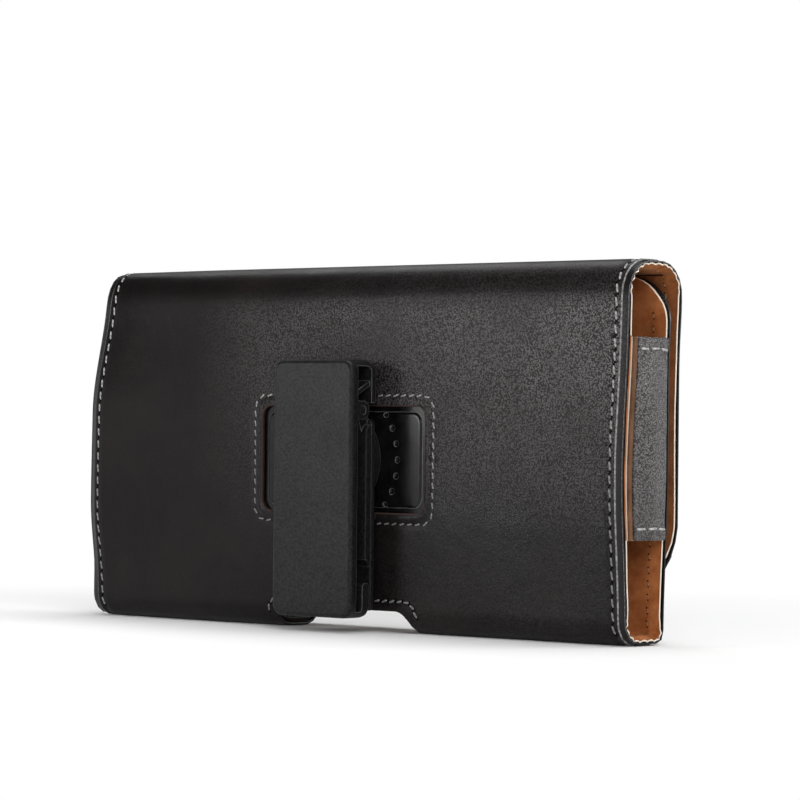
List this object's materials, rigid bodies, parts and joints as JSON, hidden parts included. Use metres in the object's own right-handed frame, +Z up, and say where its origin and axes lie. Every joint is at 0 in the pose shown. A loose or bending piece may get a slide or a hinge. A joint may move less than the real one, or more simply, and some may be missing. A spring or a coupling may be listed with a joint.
{
  "type": "phone belt holster",
  "caption": "Horizontal folded leather phone pouch with a flap, end straps, thumb notch and a turning spring belt clip on its back.",
  "frame": {"origin": "middle of the part's footprint box, on the surface that the bottom fold stands on", "axes": "+X along the pouch, +Y from the belt clip's side to the flap's side, +Z up"},
  "size_m": [0.1754, 0.0315, 0.0887],
  "materials": {
    "black_leather": "fine pebbled black leather with a soft sheen",
    "tan_lining": "burnt orange suede-like lining with pale cut edges",
    "leather_board": "bonded leather board, hidden",
    "grey_thread": "grey twisted thread",
    "clip_plastic": "finely textured matte dark grey moulding",
    "gloss_plate": "polished black moulding",
    "spring_steel": "bright drawn steel",
    "magnet_metal": "nickel plated discs, hidden"
  },
  "bodies": {
    "pouch": {"outer_wrap": "black_leather", "wrap_board": "leather_board", "wrap_lining": "tan_lining", "left_gusset": "black_leather", "right_gusset": "black_leather", "left_gusset_lining": "tan_lining", "right_gusset_lining": "tan_lining", "swivel_plate": "gloss_plate", "wall_magnets": "magnet_metal", "left_edge_stitching": "grey_thread", "right_edge_stitching": "grey_thread", "window_stitching": "grey_thread", "notch_stitching": "grey_thread", "gusset_stitching": "grey_thread"},
    "flap": {"flap_leather": "black_leather", "flap_board": "leather_board", "flap_lining": "tan_lining", "flap_magnets": "magnet_metal", "flap_stitching": "grey_thread"},
    "swivel": {"clip_body": "clip_plastic", "retaining_ring": "spring_steel", "hinge_pin": "spring_steel", "torsion_spring": "spring_steel"},
    "lever": {"clip_lever": "clip_plastic"}
  },
  "joints": [
    {"name": "flap_fold", "type": "hinge", "parent": "pouch", "child": "flap", "pos_m": [0, -0.00468, 0.0798], "axis": [1, 0, 0], "range_deg": [0, 100]},
    {"name": "clip_turn", "type": "hinge", "parent": "pouch", "child": "swivel", "pos_m": [0, -0.00468, 0.0414], "axis": [0, 1, 0], "continuous": true},
    {"name": "lever_hinge", "type": "hinge", "parent": "swivel", "child": "lever", "pos_m": [0, -0.01158, 0.0532], "axis": [-1, 0, 0], "range_deg": [0, 10], "stiffness_Nm_per_rad": 0.25, "springref_deg": -28.65}
  ]
}
